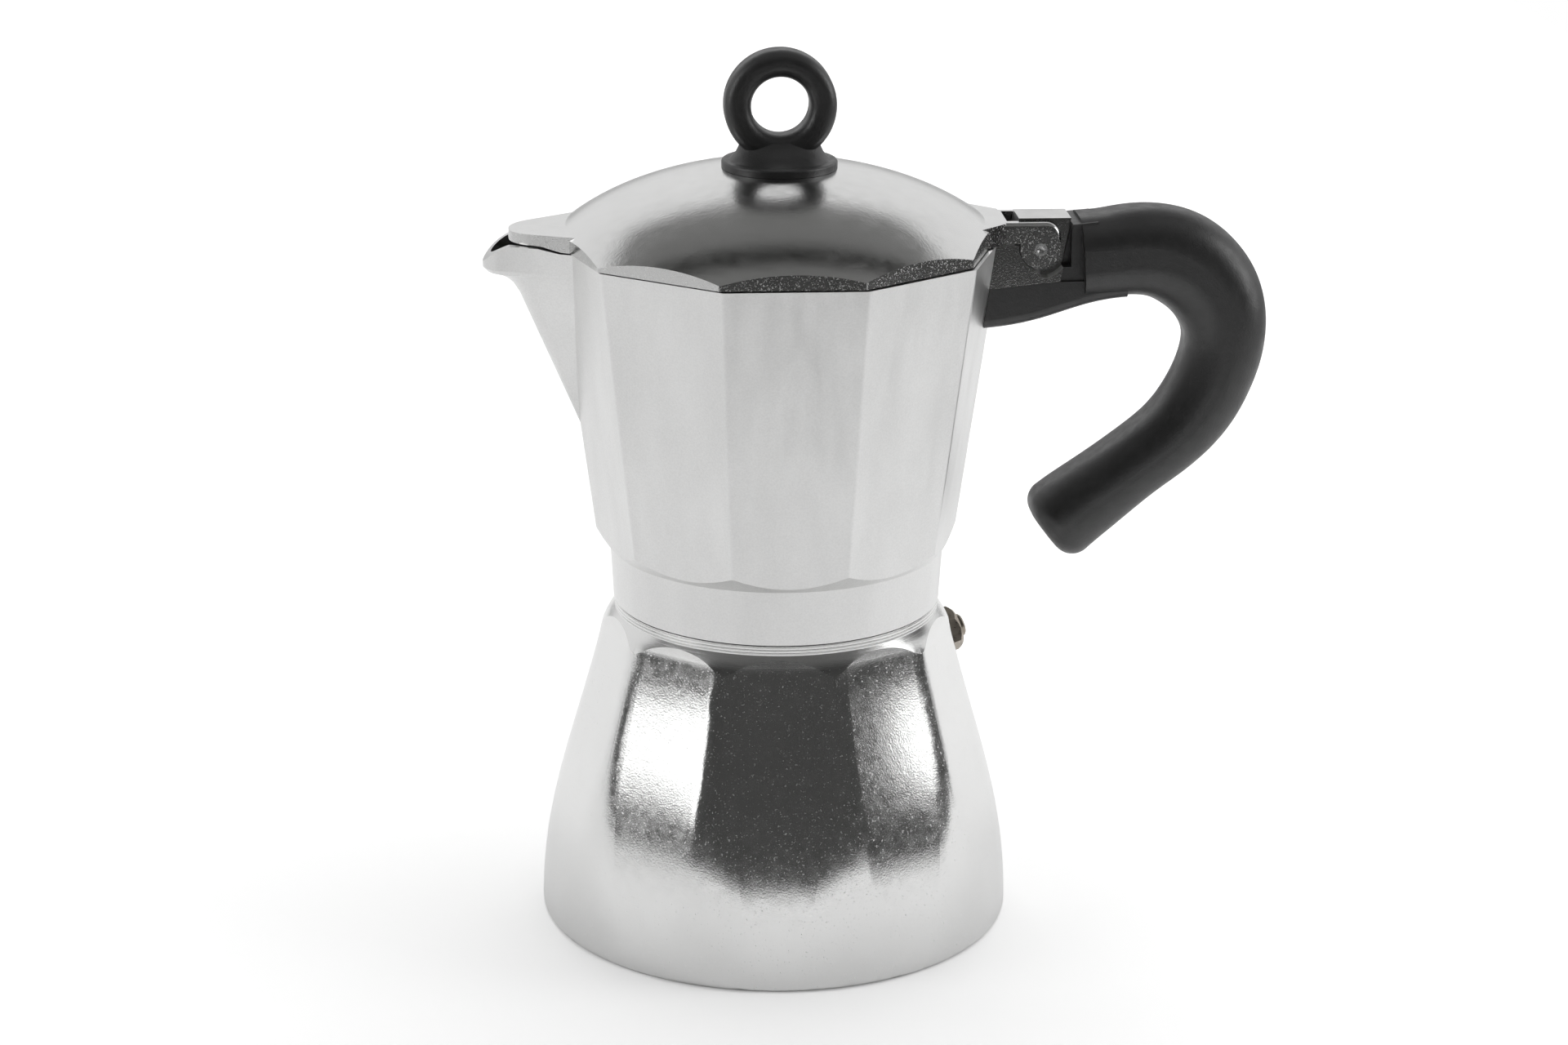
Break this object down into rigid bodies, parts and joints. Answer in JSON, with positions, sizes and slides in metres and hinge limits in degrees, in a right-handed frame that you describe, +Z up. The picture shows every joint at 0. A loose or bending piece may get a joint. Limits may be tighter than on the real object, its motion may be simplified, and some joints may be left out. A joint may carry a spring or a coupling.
{
  "type": "moka pot",
  "caption": "Stove-top moka pot with a faceted aluminium boiler, screw-on collector with spout and bent black handle, hinged domed lid with ring knob, and a sprung safety valve.",
  "frame": {"origin": "centre of the boiler's flat underside", "axes": "+Z up, +X towards the handle, -X towards the spout"},
  "size_m": [0.1712, 0.105, 0.1958],
  "materials": {
    "polished_casting": "polished cast aluminium",
    "satin_casting": "satin cast aluminium",
    "pressed_sheet": "pressed aluminium sheet",
    "valve_brass": "dull nickel-washed brass",
    "steel": "plain steel",
    "seal_rubber": "pale silicone rubber",
    "black_moulding": "black satin moulding"
  },
  "bodies": {
    "boiler": {"boiler": "polished_casting", "valve_body": "valve_brass", "valve_cap": "valve_brass", "valve_spring": "steel"},
    "valve_pin": {"valve_pin": "valve_brass"},
    "funnel": {"funnel_basket": "pressed_sheet", "funnel_tube": "pressed_sheet", "funnel_filter": "pressed_sheet"},
    "gasket": {"gasket": "seal_rubber"},
    "filter_plate": {"filter_plate": "pressed_sheet"},
    "collector": {"collector": "satin_casting", "handle": "black_moulding", "handle_screw": "steel", "hinge_pin": "steel"},
    "lid": {"lid": "polished_casting", "lid_knob": "black_moulding", "knob_screw": "steel"}
  },
  "joints": [
    {"name": "funnel_lift", "type": "slide", "parent": "boiler", "child": "funnel", "axis": [0, 0, 1], "range_m": [0, 0.08]},
    {"name": "pot_lift", "type": "slide", "parent": "funnel", "child": "gasket", "axis": [0, 0, 1], "range_m": [0, 0.05]},
    {"name": "pot_rise", "type": "slide", "parent": "gasket", "child": "filter_plate", "axis": [0, 0, 1], "range_m": [0, 0.0038]},
    {"name": "pot_unscrew", "type": "hinge", "parent": "filter_plate", "child": "collector", "pos_m": [0, 0, 0.0892], "axis": [0, 0, 1], "range_deg": [0, 450]},
    {"name": "lid_hinge", "type": "hinge", "parent": "collector", "child": "lid", "pos_m": [0.0561, 0, 0.15295], "axis": [0, 1, 0], "range_deg": [0, 95]},
    {"name": "valve_lift", "type": "slide", "parent": "boiler", "child": "valve_pin", "axis": [0.9378, 0.2425, 0.2482], "range_m": [0, 0.001], "stiffness_N_per_m": 400, "springref_m": -0.002, "deforming": ["valve_spring"]}
  ],
  "couplings": [
    {"joint": "pot_rise", "follows": "pot_unscrew", "m_per_rad": 0.00047746}
  ]
}
